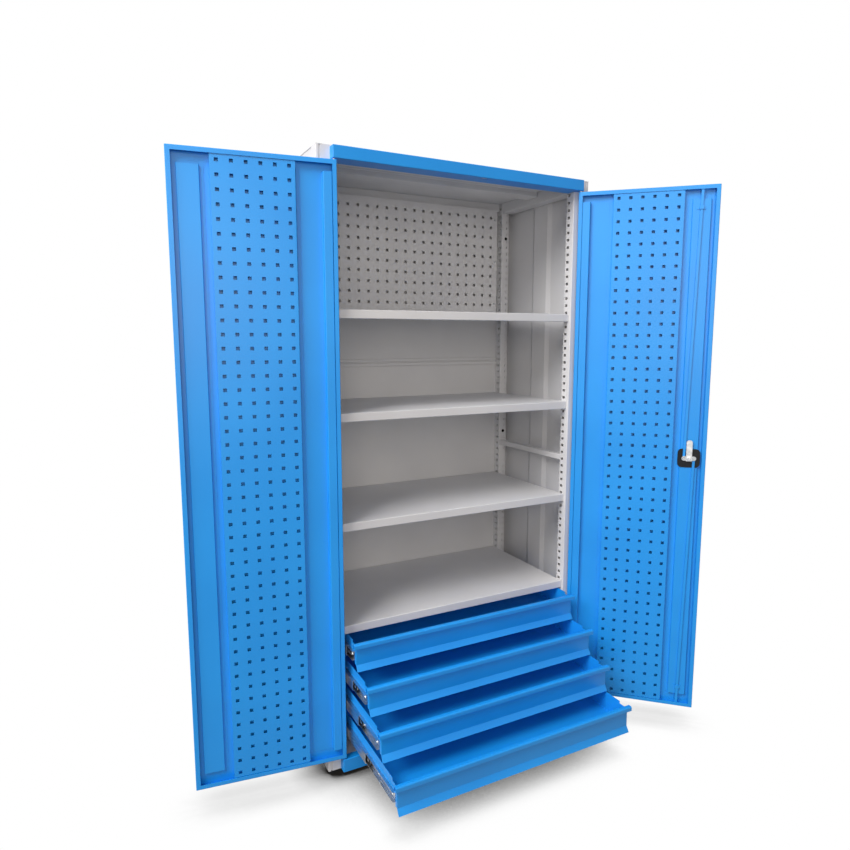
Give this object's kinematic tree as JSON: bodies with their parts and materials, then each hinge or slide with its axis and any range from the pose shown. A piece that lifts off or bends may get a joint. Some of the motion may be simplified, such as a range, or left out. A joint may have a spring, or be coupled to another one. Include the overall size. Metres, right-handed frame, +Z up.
{
  "type": "tool cabinet",
  "caption": "Tall steel tool cabinet with two swinging perforated doors, adjustable shelves, a rear tool board and a stack of pull-out drawers on ball slides.",
  "frame": {"origin": "middle of the four feet, on the floor", "axes": "+X to the right seen from the front, +Y into the cabinet towards its back, +Z up"},
  "size_m": [1.6517, 0.8405, 1.9072],
  "materials": {
    "blue_paint": "bright blue powder coat, low gloss",
    "white_paint": "light grey-white powder coat, low gloss",
    "zinc_steel": "zinc plated sheet steel",
    "black_plastic": "black moulded plastic",
    "chrome_plate": "bright plated cam",
    "foot_rubber": "black foot blocks"
  },
  "bodies": {
    "carcass": {"back_panel_lower": "white_paint", "back_panel_upper": "white_paint", "back_pegboard": "white_paint", "back_seam_rail": "white_paint", "base_rail": "blue_paint", "drawer_deck": "white_paint", "feet": "foot_rubber", "floor_panel": "white_paint", "post_front_left": "white_paint", "post_front_right": "white_paint", "post_rear_left": "white_paint", "post_rear_right": "white_paint", "rear_rails": "white_paint", "roof_panel": "white_paint", "roof_stiffener": "white_paint", "shelf_1": "white_paint", "shelf_2": "white_paint", "shelf_3": "white_paint", "shelf_clips": "zinc_steel", "side_panel_left": "white_paint", "side_panel_right": "white_paint", "side_rails": "white_paint", "slide_outer_members": "zinc_steel", "top_rail": "blue_paint"},
    "left_door": {"left_door_skin": "blue_paint", "left_door_hinge_channel": "blue_paint", "left_door_stiffener": "blue_paint", "left_door_peg_panel": "blue_paint", "left_door_pivot_pins": "zinc_steel"},
    "right_door": {"right_door_skin": "blue_paint", "right_door_hinge_channel": "blue_paint", "right_door_stiffener": "blue_paint", "right_door_peg_panel": "blue_paint", "right_door_pivot_pins": "zinc_steel", "lock_escutcheon": "black_plastic", "lock_back_plate": "black_plastic", "rod_guides": "blue_paint"},
    "lock": {"lock_handle": "black_plastic", "lock_cam": "chrome_plate", "lock_latch": "zinc_steel"},
    "upper_rod": {"upper_lock_rod": "blue_paint"},
    "lower_rod": {"lower_lock_rod": "blue_paint"},
    "drawer_1": {"drawer_1_tray": "blue_paint", "drawer_1_front": "blue_paint", "drawer_1_slide_inner": "zinc_steel"},
    "slide_1": {"drawer_1_slide_middle": "zinc_steel"},
    "drawer_2": {"drawer_2_tray": "blue_paint", "drawer_2_front": "blue_paint", "drawer_2_slide_inner": "zinc_steel"},
    "slide_2": {"drawer_2_slide_middle": "zinc_steel"},
    "drawer_3": {"drawer_3_tray": "blue_paint", "drawer_3_front": "blue_paint", "drawer_3_slide_inner": "zinc_steel"},
    "slide_3": {"drawer_3_slide_middle": "zinc_steel"},
    "drawer_4": {"drawer_4_tray": "blue_paint", "drawer_4_front": "blue_paint", "drawer_4_slide_inner": "zinc_steel"},
    "slide_4": {"drawer_4_slide_middle": "zinc_steel"}
  },
  "joints": [
    {"name": "left_door_hinge", "type": "hinge", "parent": "carcass", "child": "left_door", "pos_m": [-0.443, -0.2545, 0.961], "axis": [0, 0, -1], "range_deg": [-96.3, 0.5]},
    {"name": "right_door_hinge", "type": "hinge", "parent": "carcass", "child": "right_door", "pos_m": [0.443, -0.2545, 0.961], "axis": [0, 0, 1], "range_deg": [-44.9, 51.1]},
    {"name": "lock_turn", "type": "hinge", "parent": "right_door", "child": "lock", "pos_m": [0.7301, -0.51478, 0.962], "axis": [0.6896, 0.7242, 0], "range_deg": [0, 90]},
    {"name": "upper_rod_slide", "type": "slide", "parent": "right_door", "child": "upper_rod", "axis": [0, 0, 1], "range_m": [0, 0.0161]},
    {"name": "lower_rod_slide", "type": "slide", "parent": "right_door", "child": "lower_rod", "axis": [0, 0, -1], "range_m": [0, 0.0161]},
    {"name": "drawer_1_slide", "type": "slide", "parent": "carcass", "child": "drawer_1", "axis": [0, -1, 0], "range_m": [-0.0845, 0.3155]},
    {"name": "slide_1_travel", "type": "slide", "parent": "carcass", "child": "slide_1", "axis": [0, -1, 0], "range_m": [-0.04235, 0.15785]},
    {"name": "drawer_2_slide", "type": "slide", "parent": "carcass", "child": "drawer_2", "axis": [0, -1, 0], "range_m": [-0.1845, 0.2155]},
    {"name": "slide_2_travel", "type": "slide", "parent": "carcass", "child": "slide_2", "axis": [0, -1, 0], "range_m": [-0.09235, 0.10785]},
    {"name": "drawer_3_slide", "type": "slide", "parent": "carcass", "child": "drawer_3", "axis": [0, -1, 0], "range_m": [-0.2715, 0.1285]},
    {"name": "slide_3_travel", "type": "slide", "parent": "carcass", "child": "slide_3", "axis": [0, -1, 0], "range_m": [-0.13585, 0.06435]},
    {"name": "drawer_4_slide", "type": "slide", "parent": "carcass", "child": "drawer_4", "axis": [0, -1, 0], "range_m": [-0.377, 0.023]},
    {"name": "slide_4_travel", "type": "slide", "parent": "carcass", "child": "slide_4", "axis": [0, -1, 0], "range_m": [-0.1886, 0.0116]}
  ],
  "couplings": [
    {"joint": "upper_rod_slide", "follows": "lock_turn", "m_per_rad": 0.010186},
    {"joint": "lower_rod_slide", "follows": "lock_turn", "m_per_rad": 0.010186},
    {"joint": "slide_1_travel", "follows": "drawer_1_slide", "ratio": 0.5},
    {"joint": "slide_2_travel", "follows": "drawer_2_slide", "ratio": 0.5},
    {"joint": "slide_3_travel", "follows": "drawer_3_slide", "ratio": 0.5},
    {"joint": "slide_4_travel", "follows": "drawer_4_slide", "ratio": 0.5}
  ]
}
